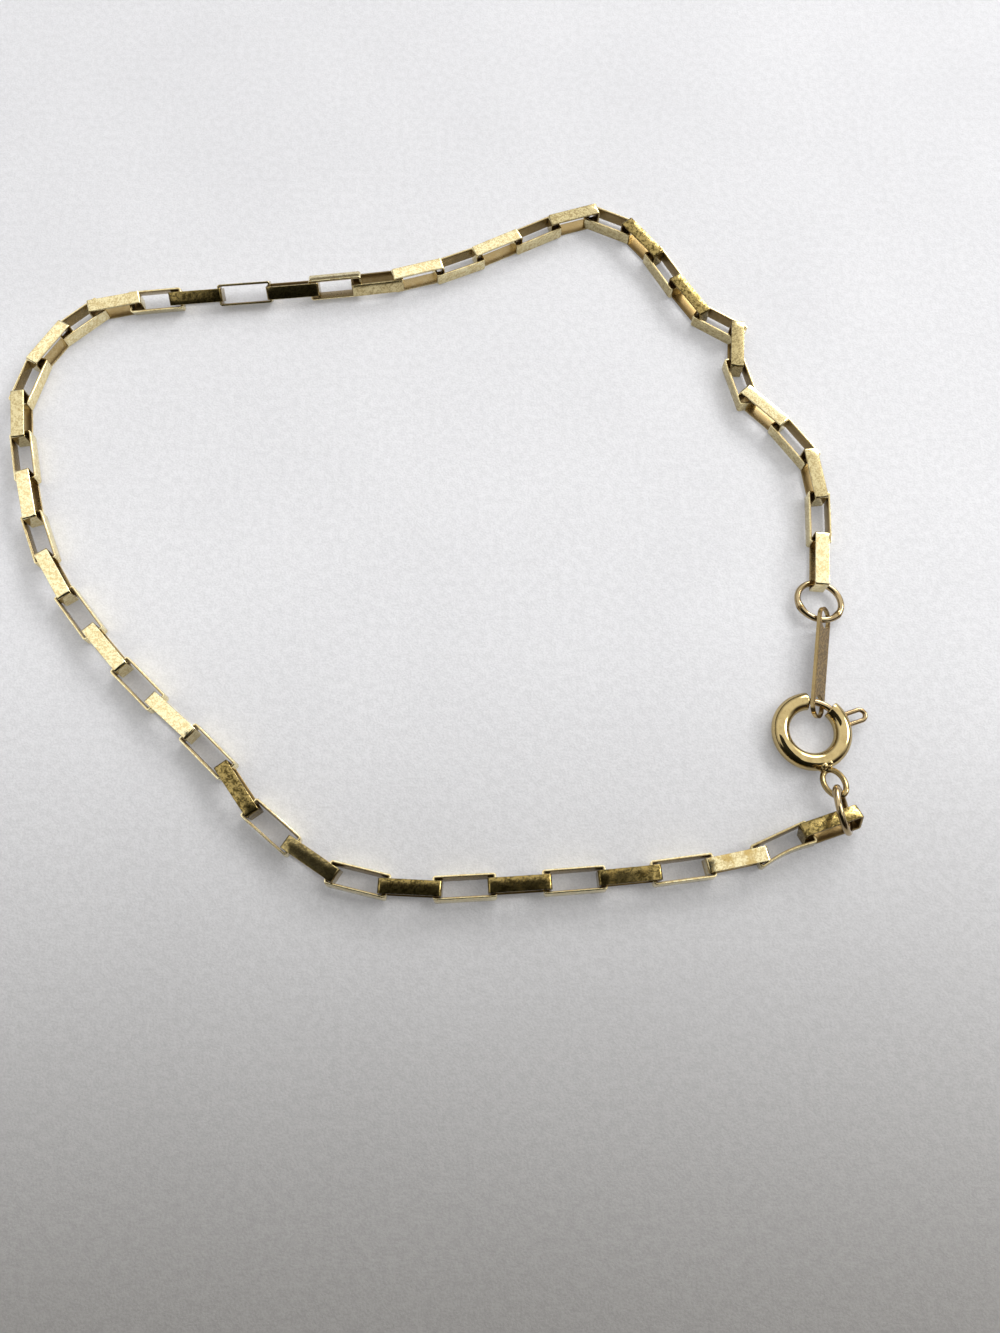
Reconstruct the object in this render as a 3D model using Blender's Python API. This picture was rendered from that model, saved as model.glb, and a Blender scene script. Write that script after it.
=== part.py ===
"""Chain anklet lying closed on a flat surface: a string of long box links bent from flat strip,
an oval end ring, a small flat tag and a spring ring clasp. Metres, +Z up, the surface is Z 0."""
import math

import bmesh
import bpy
from mathutils import Matrix, Vector
from mathutils.geometry import interpolate_bezier, intersect_line_sphere

# Box links
LINK_COUNT = 50
LINK_REACH = 0.00486          # between the inner faces of a link's two end walls
LINK_PITCH = 0.00456          # from one joint to the next, as the links lie
LINK_HEIGHT = 0.00205         # over the two long sides
STRIP_WIDTH = 0.00125
STRIP_THICKNESS = 0.00022
LINK_CORNER = 0.0003          # outer radius of the four bends
LINK_CORNER_STEPS = 3
LINK_PRESS = 0.00002          # how far touching links sink into each other, so that they fuse

# Rolls of the links about the chain: link, degrees from the first link's
TWIST = ((17, 0), (18, 18), (19, 24), (20, 40), (21, 50), (22, 51), (23, 64), (24, 82), (25, 90),
         (48, 90), (49, 80), (50, 65))

# Links whose joints aren't a whole pitch apart: link, share of the pitch taken off
SLACK = ((2, 0.04), (6, 0.19), (10, 0.14), (14, 0.05), (16, 0.03), (17, 0.05), (18, 0.04),
         (19, 0.10), (21, -0.14), (23, 0.19), (25, 0.13), (27, 0.03), (29, 0.03), (49, 0.06))

# One link has a long side that is pressed in
BENT_LINK = 49
BEND_DEPTH = 0.00025
BEND_STEPS = 6

# Route of the chain from the end ring round to the clasp's ring: a few chosen points
ROUTE = ((0.0378, 0.0018), (0.0373, 0.0061), (0.0348, 0.0097), (0.0318, 0.0129), (0.0311, 0.0162),
         (0.0314, 0.0203), (0.0280, 0.0224), (0.0238, 0.0295), (0.0212, 0.0329), (0.0174, 0.0347),
         (0.0133, 0.0334), (0.0056, 0.0295), (-0.0025, 0.0266), (-0.0285, 0.0238), (-0.0327, 0.0230),
         (-0.0356, 0.0206), (-0.0379, 0.0169), (-0.0390, 0.0129), (-0.0384, 0.0085),
         (-0.0343, -0.0042), (-0.0260, -0.0149), (-0.0160, -0.0241), (-0.0134, -0.0277),
         (-0.0062, -0.0331), (-0.0017, -0.0342), (0.0027, -0.0344), (0.0208, -0.0331),
         (0.0297, -0.0316), (0.0335, -0.0299))
ROUTE_END = (0.03776, -0.02848)
ROUTE_STEPS = 12
ROUTE_PASSES = 4
SCALE_RANGE = (0.5, 2.0)      # scales tried on the route so that the links fill it
SCALE_HALVINGS = 28

# Spring ring clasp, with angles in degrees round its middle
CLASP_CENTRE = (0.0350, -0.0209)
CLASP_DIAMETER = 0.0070
CLASP_TUBE = 0.00156
CLASP_GAP_START = 48
CLASP_GAP_END = 93
CLASP_STEPS = 40
TUBE_SIDES = 16
BOLT_DIAMETER = 0.0006
BOLT_CLEARANCE = 0.0001
BOLT_SEAT = 8                 # how far the bolt's tip reaches past the gap
BOLT_TAIL = 6
BOLT_TRAVEL = 50
BOLT_END_ROOM = 4
BOLT_STEPS = 16
POCKET_STEPS = 4
BOLT_SIDES = 12
TRIGGER_ANGLE = 18.5
TRIGGER_LENGTH = 0.0018       # beyond the tube
TRIGGER_WIDTH = 0.0014
TRIGGER_WIRE = 0.00042
TRIGGER_CLEARANCE = 0.00007
TRIGGER_STEPS = 12

# Soldered eye of the clasp
EYE_ANGLE = -75.2
EYE_LENGTH = 0.00338
EYE_WIDTH = 0.0021
EYE_WIRE = 0.0005
EYE_RISE = 30.8
EYE_ROLL = 22.9
EYE_SINK = 0.00014            # how deep its wire goes into the tube
EYE_STEPS = 28
SOLDER_DIAMETER = 0.0007
SOLDER_ANGLE = -78
SOLDER_SLOPE = 41             # degrees up the tube's outer side
SOLDER_SINK = 0.00014

# Rings
RING_WIRE = 0.00056
WIRE_SIDES = 10
RING_STEPS = 32
RING_GAP = 0.00006            # clearance where a ring hangs in its neighbour
END_RING_LENGTH = 0.0046
END_RING_WIDTH = 0.0041
END_RING_TURN = -32
END_RING_TAG_ANGLE = -85      # degrees round the ring where the tag hangs, and where the chain does
END_RING_CHAIN_ANGLE = 88
END_RING_CHAIN_HEIGHT = 0.0006
CLASP_RING_CENTRE = (0.03635, -0.02806, 0.002514)
CLASP_RING_DIAMETER = 0.00436
CLASP_RING_HEADING = -83.8
CLASP_RING_PITCH = 3.0
CLASP_RING_LEAN = 62.3

# Tag
TAG_LENGTH = 0.0105
TAG_WIDTH = 0.0021
TAG_THICKNESS = 0.00036
TAG_HEADING = 80
TAG_LEAN = 49                 # degrees from lying flat
TAG_RIM = 0.00025             # metal between each slot and the tag's end
TAG_SLOT_LENGTH = 0.0018
TAG_SLOT_WIDTH = 0.0016
TAG_BOLT_ANGLE = 74           # degrees round the clasp where the tag hangs on the bolt
TAG_BOLT_OFFSET = 0.0003      # how far the bolt sits from the middle of its slot, towards the tag's end
TAG_END_STEPS = 8

GOLD = (0.86, 0.68, 0.34, 1.0)
CLASP_GOLD = (0.88, 0.72, 0.36, 1.0)
TAG_GOLD = (0.74, 0.56, 0.30, 1.0)
GOLD_ROUGHNESS = 0.3
CLASP_ROUGHNESS = 0.2
TAG_ROUGHNESS = 0.35

UP = Vector((0, 0, 1))


def gold(name, colour, roughness):
    """A gold alloy as a Principled BSDF material."""
    material = bpy.data.materials.new(name)
    material.use_nodes = True
    shader = material.node_tree.nodes["Principled BSDF"]
    shader.inputs["Base Color"].default_value = colour
    shader.inputs["Roughness"].default_value = roughness
    shader.inputs["Metallic"].default_value = 1.0
    return material


def direction(degrees):
    """Unit vector on the surface at an angle from +X."""
    return Vector((math.cos(math.radians(degrees)), math.sin(math.radians(degrees)), 0.0))


def add_object(name, bm):
    """Turn a bmesh into an object with its faces pointing out."""
    bmesh.ops.recalc_face_normals(bm, faces=bm.faces[:])
    mesh = bpy.data.meshes.new(name)
    bm.to_mesh(mesh)
    bm.free()
    thing = bpy.data.objects.new(name, mesh)
    bpy.context.collection.objects.link(thing)
    return thing


def finish(thing, material):
    """Shade a finished piece and give it its material."""
    mesh = thing.data
    mesh.shade_smooth()
    mesh.set_sharp_from_angle(angle=math.radians(35))
    mesh.materials.clear()
    mesh.materials.append(material)


def combine(target, tools, operation):
    """Join or cut the target with each tool object in turn, then delete the tools."""
    for tool in tools:
        modifier = target.modifiers.new(operation.title(), "BOOLEAN")
        modifier.solver = "EXACT"
        modifier.operation = operation
        modifier.object = tool
        graph = bpy.context.evaluated_depsgraph_get()
        shaped = bpy.data.meshes.new_from_object(target.evaluated_get(graph))
        target.modifiers.clear()
        target.data = shaped
        bpy.data.objects.remove(tool)


def loft(bm, loops, closed):
    """Join equal loops of vertices into a solid, either closed on itself or with flat ends."""
    count = len(loops)
    for index in range(count if closed else count - 1):
        near, far = loops[index], loops[(index + 1) % count]
        for step in range(len(near)):
            other = (step + 1) % len(near)
            bm.faces.new((near[step], near[other], far[other], far[step]))
    if not closed:
        bm.faces.new(loops[0])
        bm.faces.new(loops[-1])


def wire_loop(bm, point, side, axis, radius):
    """Vertices round a wire at one point of it, in the plane of two unit vectors."""
    turns = [2 * math.pi * step / WIRE_SIDES for step in range(WIRE_SIDES)]
    return [bm.verts.new(point + radius * (math.cos(turn) * side + math.sin(turn) * axis)) for turn in turns]


def oval_ring(name, middle, long_half, short_half, radius, steps):
    """Closed ring of round wire. The halves are vectors from its middle along its two axes."""
    axis = long_half.cross(short_half).normalized()
    bm = bmesh.new()
    loops = []
    for index in range(steps):
        turn = 2 * math.pi * index / steps
        point = middle + math.cos(turn) * long_half + math.sin(turn) * short_half
        along = math.cos(turn) * short_half - math.sin(turn) * long_half
        side = along.cross(axis).normalized()
        loops.append(wire_loop(bm, point, side, axis, radius))
    loft(bm, loops, True)
    return add_object(name, bm)


def swept(name, section, start, end, steps):
    """Solid swept round the clasp's middle. The section is pairs of radius and height."""
    bm = bmesh.new()
    loops = []
    for index in range(steps + 1):
        outward = direction(start + (end - start) * index / steps)
        loops.append([bm.verts.new(radius * outward + height * UP) for radius, height in section])
    loft(bm, loops, False)
    return add_object(name, bm)


def disc(radius, sides):
    """Section for a round bar on the clasp's centre line."""
    turns = [2 * math.pi * step / sides for step in range(sides)]
    return [(BOLT_RADIUS + radius * math.cos(turn), radius * math.sin(turn)) for turn in turns]


def table_value(table, link):
    """Read a table of link and value in straight runs between its rows."""
    if link <= table[0][0]:
        return table[0][1]
    for (first, low), (last, high) in zip(table, table[1:]):
        if link <= last:
            return low + (high - low) * (link - first) / (last - first)
    return table[-1][1]


# Where the pieces meet

CLASP_MIDDLE = Vector((*CLASP_CENTRE, CLASP_TUBE / 2))
BOLT_RADIUS = (CLASP_DIAMETER - CLASP_TUBE) / 2
TAG_ALONG = direction(TAG_HEADING)
TAG_SIN, TAG_COS = math.sin(math.radians(TAG_LEAN)), math.cos(math.radians(TAG_LEAN))
TAG_SLOT_SPACING = TAG_LENGTH - 2 * TAG_RIM - TAG_SLOT_LENGTH


def tag_slot():
    """Middle of the tag's slot at the bolt, which sits towards the slot's far end."""
    slot = CLASP_MIDDLE + BOLT_RADIUS * direction(TAG_BOLT_ANGLE) - TAG_BOLT_OFFSET * TAG_ALONG
    slot.z = (TAG_WIDTH * TAG_SIN + TAG_THICKNESS * TAG_COS) / 2
    return slot


def end_ring_reach(degrees):
    """Distance from the end ring's middle to its wire's middle at an angle."""
    long_half, short_half = (END_RING_LENGTH - RING_WIRE) / 2, (END_RING_WIDTH - RING_WIRE) / 2
    turn = math.radians(degrees - END_RING_TURN)
    return long_half * short_half / math.hypot(short_half * math.cos(turn), long_half * math.sin(turn))


def end_ring_middle():
    """Middle of the end ring, whose wire hangs in the tag's far slot."""
    wire_point = tag_slot() + TAG_SLOT_SPACING * TAG_ALONG
    return wire_point - end_ring_reach(END_RING_TAG_ANGLE) * direction(END_RING_TAG_ANGLE)


def route_start():
    """First joint of the chain, where the end ring hangs in the first link's end wall."""
    inner = end_ring_reach(END_RING_CHAIN_ANGLE) - RING_WIRE / 2
    reach = math.sqrt(inner ** 2 - (STRIP_WIDTH / 2) ** 2) - RING_GAP
    start = end_ring_middle() + (reach + (LINK_REACH - LINK_PITCH) / 2) * direction(END_RING_CHAIN_ANGLE)
    start.z = 0
    return start


# Chain

def route_curve(scale):
    """Smooth curve through the route's points, which are scaled about the middle of its ends."""
    start, end = route_start(), Vector((*ROUTE_END, 0))
    middle = (start + end) / 2
    stops = [start] + [middle + scale * (Vector((*point, 0)) - middle) for point in ROUTE] + [end]
    runs = [(after - before).normalized() for before, after in zip(stops, stops[2:])]
    runs = [(stops[1] - start).normalized()] + runs + [(end - stops[-2]).normalized()]
    curve = [start]
    for index in range(len(stops) - 1):
        near, far = stops[index], stops[index + 1]
        handle = (far - near).length / 3
        curve += interpolate_bezier(near, near + handle * runs[index], far - handle * runs[index + 1],
                                    far, ROUTE_STEPS)[1:]
    return curve


def walk(curve, chords):
    """Step links of given lengths along a curve and return their joints, until the curve ends."""
    joints = [curve[0]]
    place = 0
    for chord in chords:
        here = joints[-1]
        while place + 1 < len(curve) and (curve[place + 1] - here).length < chord:
            place += 1
        if place + 1 == len(curve):
            return joints
        near, far = curve[place], curve[place + 1]
        hits = intersect_line_sphere(near, far, here, chord, False)
        joints.append(max(hits, key=lambda hit: hit.dot(far - near)))
    return joints


def lay_links():
    """Joints between the links, and how much each joint's turn takes from the links beside it."""
    slack = dict(SLACK)
    taken = [0.0] * (LINK_COUNT + 1)
    for attempt in range(ROUTE_PASSES):
        chords = [LINK_PITCH * (1 - slack.get(link, 0)) - taken[link - 1] - taken[link]
                  for link in range(1, LINK_COUNT + 1)]
        small, large = SCALE_RANGE
        for halving in range(SCALE_HALVINGS):
            scale = (small + large) / 2
            if len(walk(route_curve(scale), chords)) > LINK_COUNT:
                large = scale
            else:
                small = scale
        joints = walk(route_curve(large), chords)
        runs = [after - before for before, after in zip(joints, joints[1:])]
        for joint in range(1, LINK_COUNT):
            taken[joint] = STRIP_WIDTH / 2 * math.tan(runs[joint - 1].angle(runs[joint]) / 2)
    return joints, taken


def is_flat(normal):
    """Whether a link with this strip normal shows the flat of its strip from above."""
    return abs(normal.z) > math.sqrt(0.5)


def link_frames():
    """Middle, run and strip normal of each link, at the heights where the links come to rest."""
    joints, taken = lay_links()
    frames = []
    for link in range(1, LINK_COUNT + 1):
        run = (joints[link] - joints[link - 1]).normalized()
        roll = math.radians(table_value(TWIST, link) + (0 if link % 2 else 90))
        normal = Matrix.Rotation(roll, 3, run) @ UP
        middle = (joints[link - 1] + joints[link] + (taken[link] - taken[link - 1]) * run) / 2
        middle.z = (LINK_HEIGHT * abs(normal.z) + STRIP_WIDTH * math.sqrt(1 - normal.z ** 2)) / 2
        frames.append((middle, run, normal))
    drop = LINK_HEIGHT / 2 - STRIP_THICKNESS - STRIP_WIDTH / 2 + LINK_PRESS
    shelves = [middle.z - drop / abs(normal.z) if is_flat(normal) else 0.0 for middle, run, normal in frames]
    for index, (middle, run, normal) in enumerate(frames):
        if not is_flat(normal):
            near = max(middle.z, shelves[index - 1])
            far = max(middle.z, shelves[(index + 1) % LINK_COUNT])
            middle.z = (near + far) / 2
            run.z = (far - near) / LINK_REACH
            run.normalize()
    return frames


def link_outline(bend):
    """Outer and inner outline of a link, as pairs of distance along it and across it."""
    half_length = LINK_REACH / 2 + STRIP_THICKNESS - LINK_CORNER
    half_height = LINK_HEIGHT / 2 - LINK_CORNER
    pairs = []
    for quarter, (along, across) in enumerate(((1, 1), (-1, 1), (-1, -1), (1, -1))):
        middle = Vector((along * half_length, across * half_height))
        for step in range(LINK_CORNER_STEPS + 1):
            turn = math.pi / 2 * (quarter + step / LINK_CORNER_STEPS)
            spoke = Vector((math.cos(turn), math.sin(turn)))
            pairs.append((middle + LINK_CORNER * spoke, middle + (LINK_CORNER - STRIP_THICKNESS) * spoke))
        if bend and quarter == 0:
            for step in range(1, BEND_STEPS):
                share = step / BEND_STEPS
                outer = Vector((half_length * (1 - 2 * share),
                                LINK_HEIGHT / 2 - bend * math.sin(math.pi * share)))
                pairs.append((outer, outer - Vector((0, STRIP_THICKNESS))))
    return pairs


def add_link(bm, frame, bend):
    """Add one link's closed band of strip to a bmesh."""
    middle, run, normal = frame
    edge = STRIP_WIDTH / 2 * run.cross(normal)
    loops = []
    for outer, inner in link_outline(bend):
        far, near = (middle + pair.x * run + pair.y * normal for pair in (outer, inner))
        loops.append([bm.verts.new(point) for point in (far - edge, far + edge, near + edge, near - edge)])
    loft(bm, loops, True)


def build_chain():
    """All links as one solid, fused where they touch."""
    halves = []
    frames = link_frames()
    for first in (0, 1):
        bm = bmesh.new()
        for index in range(first, LINK_COUNT, 2):
            add_link(bm, frames[index], BEND_DEPTH if index + 1 == BENT_LINK else 0)
        halves.append(add_object("box_chain", bm))
    combine(halves[0], halves[1:], "UNION")
    return halves[0]


# End pieces

def build_end_ring():
    """Oval ring between the tag and the first link, a little lower at the chain."""
    middle = end_ring_middle()
    span = (route_start() - end_ring_middle()).to_2d().length + end_ring_reach(END_RING_TAG_ANGLE)
    tilt = math.atan2(END_RING_CHAIN_HEIGHT - CLASP_MIDDLE.z, span)
    middle.z = (END_RING_CHAIN_HEIGHT + CLASP_MIDDLE.z) / 2
    tip = Matrix.Rotation(tilt, 3, direction(END_RING_CHAIN_ANGLE - 90))
    long_half = tip @ ((END_RING_LENGTH - RING_WIRE) / 2 * direction(END_RING_TURN))
    short_half = tip @ ((END_RING_WIDTH - RING_WIRE) / 2 * direction(END_RING_TURN + 90))
    return oval_ring("end_ring", middle, long_half, short_half, RING_WIRE / 2, RING_STEPS)


def build_clasp_ring():
    """Round ring through the clasp's eye and the last link, leaning over the link."""
    pitch, lean = math.radians(CLASP_RING_PITCH), math.radians(CLASP_RING_LEAN)
    along = math.cos(pitch) * direction(CLASP_RING_HEADING) + math.sin(pitch) * UP
    level = direction(CLASP_RING_HEADING + 90)
    down = math.cos(lean) * level - math.sin(lean) * along.cross(level).normalized()
    half = (CLASP_RING_DIAMETER - RING_WIRE) / 2
    return oval_ring("clasp_ring", Vector(CLASP_RING_CENTRE), half * along, half * down,
                     RING_WIRE / 2, RING_STEPS)


def stadium(length, width):
    """Outline with two round ends, as pairs of distance along and across."""
    points = []
    for end in (1, -1):
        for step in range(TAG_END_STEPS + 1):
            turn = math.pi * (step / TAG_END_STEPS - 0.5)
            points.append((end * ((length - width) / 2 + width / 2 * math.cos(turn)),
                           end * width / 2 * math.sin(turn)))
    return points


def tag_plate(name, shift, length, width, thickness):
    """Plate with round ends in the tag's plane, moved along the tag from its slot at the bolt."""
    across = TAG_COS * direction(TAG_HEADING + 90) + TAG_SIN * UP
    normal = TAG_ALONG.cross(across)
    middle = tag_slot() + shift * TAG_ALONG
    bm = bmesh.new()
    loops = [[bm.verts.new(middle + x * TAG_ALONG + y * across + side * thickness / 2 * normal)
              for x, y in stadium(length, width)] for side in (-1, 1)]
    loft(bm, loops, False)
    return add_object(name, bm)


def build_tag():
    """Narrow bar with a slot near each end, leaning on its lower edge."""
    tag = tag_plate("tag", TAG_SLOT_SPACING / 2, TAG_LENGTH, TAG_WIDTH, TAG_THICKNESS)
    slots = [tag_plate("slot", shift, TAG_SLOT_LENGTH, TAG_SLOT_WIDTH, 2 * TAG_THICKNESS)
             for shift in (0, TAG_SLOT_SPACING)]
    combine(tag, slots, "DIFFERENCE")
    return tag


# Clasp, built about its own middle

def build_clasp_body():
    """Open tube ring with the bolt's bore and the trigger's slot, its soldered eye and the solder."""
    tube = CLASP_TUBE / 2
    bore = BOLT_DIAMETER / 2 + BOLT_CLEARANCE
    body = swept("clasp_body", disc(tube, TUBE_SIDES), CLASP_GAP_END, CLASP_GAP_START + 360, CLASP_STEPS)
    outward = direction(EYE_ANGLE)
    rise, roll = math.radians(EYE_RISE), math.radians(EYE_ROLL)
    along = math.cos(rise) * outward + math.sin(rise) * UP
    across = Matrix.Rotation(roll, 3, along) @ direction(EYE_ANGLE + 90)
    eye_half = (EYE_LENGTH - EYE_WIRE) / 2
    near_end = (CLASP_DIAMETER / 2 - EYE_SINK + EYE_WIRE / 2) * outward
    eye = oval_ring("eye", near_end + eye_half * along, eye_half * along,
                    (EYE_WIDTH - EYE_WIRE) / 2 * across, EYE_WIRE / 2, EYE_STEPS)
    slope = math.radians(SOLDER_SLOPE)
    solder_at = tube - SOLDER_SINK
    bm = bmesh.new()
    bmesh.ops.create_icosphere(bm, subdivisions=2, radius=SOLDER_DIAMETER / 2, matrix=Matrix.Translation(
        (BOLT_RADIUS + solder_at * math.cos(slope)) * direction(SOLDER_ANGLE)
        + solder_at * math.sin(slope) * UP))
    solder = add_object("solder", bm)
    combine(body, [eye, solder], "UNION")
    deepest = BOLT_TAIL - BOLT_TRAVEL - BOLT_END_ROOM
    channel = swept("channel", disc(bore, BOLT_SIDES), deepest, CLASP_GAP_START + BOLT_END_ROOM, BOLT_STEPS)
    pocket_end = CLASP_GAP_END + BOLT_SEAT + BOLT_END_ROOM
    pocket = swept("pocket", disc(bore, BOLT_SIDES), CLASP_GAP_END - BOLT_END_ROOM, pocket_end, POCKET_STEPS)
    half_slot = TRIGGER_WIRE / 2 + TRIGGER_CLEARANCE
    half_width = math.degrees(math.asin(TRIGGER_WIDTH / 2 / BOLT_RADIUS)) + BOLT_END_ROOM
    slot_section = ((BOLT_RADIUS, -half_slot), (CLASP_DIAMETER, -half_slot),
                    (CLASP_DIAMETER, half_slot), (BOLT_RADIUS, half_slot))
    slot = swept("slot", slot_section, TRIGGER_ANGLE - BOLT_TRAVEL - half_width,
                 TRIGGER_ANGLE + half_width, BOLT_STEPS)
    combine(body, [channel, pocket, slot], "DIFFERENCE")
    body.location = CLASP_MIDDLE
    return body


def hairpin(name, foot, tip, width):
    """Loop of wire with straight sides and a round end, from one distance outward to another."""
    outward, across = direction(TRIGGER_ANGLE), direction(TRIGGER_ANGLE + 90)
    half = (width - TRIGGER_WIRE) / 2
    bend = tip - TRIGGER_WIRE / 2 - half
    spots = [(foot * outward - half * across, -across)]
    for step in range(TRIGGER_STEPS + 1):
        turn = math.pi * (step / TRIGGER_STEPS - 0.5)
        side = math.cos(turn) * outward + math.sin(turn) * across
        spots.append((bend * outward + half * side, side))
    spots.append((foot * outward + half * across, across))
    bm = bmesh.new()
    loft(bm, [wire_loop(bm, point, side, UP, TRIGGER_WIRE / 2) for point, side in spots], False)
    return add_object(name, bm)


def build_clasp_bolt():
    """Curved bolt with its trigger loop, turning about the clasp's middle."""
    bolt = swept("clasp_bolt", disc(BOLT_DIAMETER / 2, BOLT_SIDES), BOLT_TAIL,
                 CLASP_GAP_END + BOLT_SEAT, BOLT_STEPS)
    foot = math.sqrt(BOLT_RADIUS ** 2 - (TRIGGER_WIDTH / 2) ** 2)
    loop = hairpin("trigger", foot, CLASP_DIAMETER / 2 + TRIGGER_LENGTH, TRIGGER_WIDTH)
    combine(bolt, [loop], "UNION")
    bolt.location = CLASP_MIDDLE
    return bolt


def centre(pieces):
    """Move everything so that the middle of the footprint is the origin and the lowest point is Z 0."""
    corners = [piece.location + vert.co for piece in pieces for vert in piece.data.vertices]
    lowest = Vector([min(corner[axis] for corner in corners) for axis in range(3)])
    highest = Vector([max(corner[axis] for corner in corners) for axis in range(3)])
    shift = Vector(((lowest.x + highest.x) / 2, (lowest.y + highest.y) / 2, lowest.z))
    for piece in pieces:
        piece.location -= shift


def main():
    for thing in list(bpy.data.objects):
        bpy.data.objects.remove(thing)
    chain_gold = gold("chain_gold", GOLD, GOLD_ROUGHNESS)
    clasp_gold = gold("clasp_gold", CLASP_GOLD, CLASP_ROUGHNESS)
    tag_gold = gold("tag_gold", TAG_GOLD, TAG_ROUGHNESS)
    pieces = ((build_chain(), chain_gold), (build_end_ring(), clasp_gold), (build_tag(), tag_gold),
              (build_clasp_body(), clasp_gold), (build_clasp_bolt(), clasp_gold),
              (build_clasp_ring(), clasp_gold))
    for piece, material in pieces:
        finish(piece, material)
    centre([piece for piece, material in pieces])


main()
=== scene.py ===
"""Dresses the chain anklet's frame: brushed gold box links, rings, tag and spring ring clasp on
pale paper, seen as in the photograph. Metres throughout."""
import math
import random

import bmesh
import bpy
from mathutils import Matrix, Vector
from mathutils.geometry import interpolate_bezier, intersect_line_sphere


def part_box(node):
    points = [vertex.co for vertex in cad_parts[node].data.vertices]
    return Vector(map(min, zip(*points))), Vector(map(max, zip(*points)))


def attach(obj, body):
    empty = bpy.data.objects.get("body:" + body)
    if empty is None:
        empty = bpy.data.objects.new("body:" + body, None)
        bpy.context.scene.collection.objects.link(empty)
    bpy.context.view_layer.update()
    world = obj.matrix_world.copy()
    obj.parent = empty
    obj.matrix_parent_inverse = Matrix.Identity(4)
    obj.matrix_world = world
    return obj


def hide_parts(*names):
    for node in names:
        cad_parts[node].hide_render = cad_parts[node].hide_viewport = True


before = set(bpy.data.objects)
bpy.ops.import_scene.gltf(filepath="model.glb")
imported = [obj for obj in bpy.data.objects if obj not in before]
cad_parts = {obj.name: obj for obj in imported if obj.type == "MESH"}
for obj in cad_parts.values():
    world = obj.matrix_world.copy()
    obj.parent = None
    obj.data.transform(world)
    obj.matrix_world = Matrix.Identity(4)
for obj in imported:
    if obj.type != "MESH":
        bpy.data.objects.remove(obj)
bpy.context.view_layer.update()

# Box links, with the solids' sizes
LINK_COUNT = 50
LINK_REACH = 0.00486
LINK_PITCH = 0.00456
LINK_HEIGHT = 0.00205
STRIP_WIDTH = 0.00125
STRIP_THICKNESS = 0.00022
LINK_CORNER = 0.00025         # a little tighter than the solid's
LINK_PRESS = 0.00002
LINK_CORNER_STEPS = 4
LINK_EDGE_RADIUS = 0.00005
LINK_EDGE_STEPS = 3
LINK_SHARP_ANGLE = 30
LINK_WOBBLE = 1.5             # degrees that a link rolls by chance
TWIST = ((17, 0), (18, 18), (19, 24), (20, 40), (21, 50), (22, 51), (23, 64), (24, 82), (25, 90),
         (48, 90), (49, 80), (50, 65))
SLACK = ((2, 0.04), (6, 0.19), (10, 0.14), (14, 0.05), (16, 0.03), (17, 0.05), (18, 0.04),
         (19, 0.10), (21, -0.14), (23, 0.19), (25, 0.13), (27, 0.03), (29, 0.03), (49, 0.06))
BENT_LINK = 49
BEND_DEPTH = 0.00025
ROUTE = ((0.0378, 0.0018), (0.0373, 0.0061), (0.0348, 0.0097), (0.0318, 0.0129), (0.0311, 0.0162),
         (0.0314, 0.0203), (0.0280, 0.0224), (0.0238, 0.0295), (0.0212, 0.0329), (0.0174, 0.0347),
         (0.0133, 0.0334), (0.0056, 0.0295), (-0.0025, 0.0266), (-0.0285, 0.0238), (-0.0327, 0.0230),
         (-0.0356, 0.0206), (-0.0379, 0.0169), (-0.0390, 0.0129), (-0.0384, 0.0085),
         (-0.0343, -0.0042), (-0.0260, -0.0149), (-0.0160, -0.0241), (-0.0134, -0.0277),
         (-0.0062, -0.0331), (-0.0017, -0.0342), (0.0027, -0.0344), (0.0208, -0.0331),
         (0.0297, -0.0316), (0.0335, -0.0299))
ROUTE_END = (0.03776, -0.02848)
ROUTE_STEPS = 12
ROUTE_PASSES = 4
SCALE_RANGE = (0.5, 2.0)
SCALE_HALVINGS = 28

# Spring ring clasp, with angles in degrees round its middle
CLASP_CENTRE = (0.0350, -0.0209)
CLASP_DIAMETER = 0.0070
CLASP_TUBE = 0.00156
CLASP_GAP_START, CLASP_GAP_END = 48, 93
BOLT_DIAMETER = 0.0006
BOLT_CLEARANCE = 0.0001
BOLT_SEAT, BOLT_TAIL, BOLT_TRAVEL, BOLT_END_ROOM = 8, 6, 50, 4
RIM_ROUNDING = 0.00008
RIM_SHOULDER = 0.3            # share of the rounding at the step between rim and wall
CLASP_SHARP_ANGLE = 35
TRIGGER_ANGLE = 18.5
TRIGGER_LENGTH = 0.0018
TRIGGER_WIDTH = 0.0014
TRIGGER_WIRE = 0.00042
TRIGGER_CLEARANCE = 0.00007
EYE_ANGLE, EYE_RISE, EYE_ROLL = -75.2, 30.8, 22.9
EYE_LENGTH = 0.00338
EYE_WIDTH = 0.0021
EYE_WIRE = 0.0005
EYE_SINK = 0.00014
# Painted shade on the clasp's eye
EYE_SHADE = 0.45
# Beads of the solder's lump: angle round the clasp, slope on the tube, diameter
SOLDER_BEADS = ((-78, 41, 0.0007), (-70.5, 22, 0.00064), (-81.5, 8, 0.0006), (-68, 52, 0.0005))
SOLDER_SINK = 0.00014
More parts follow.
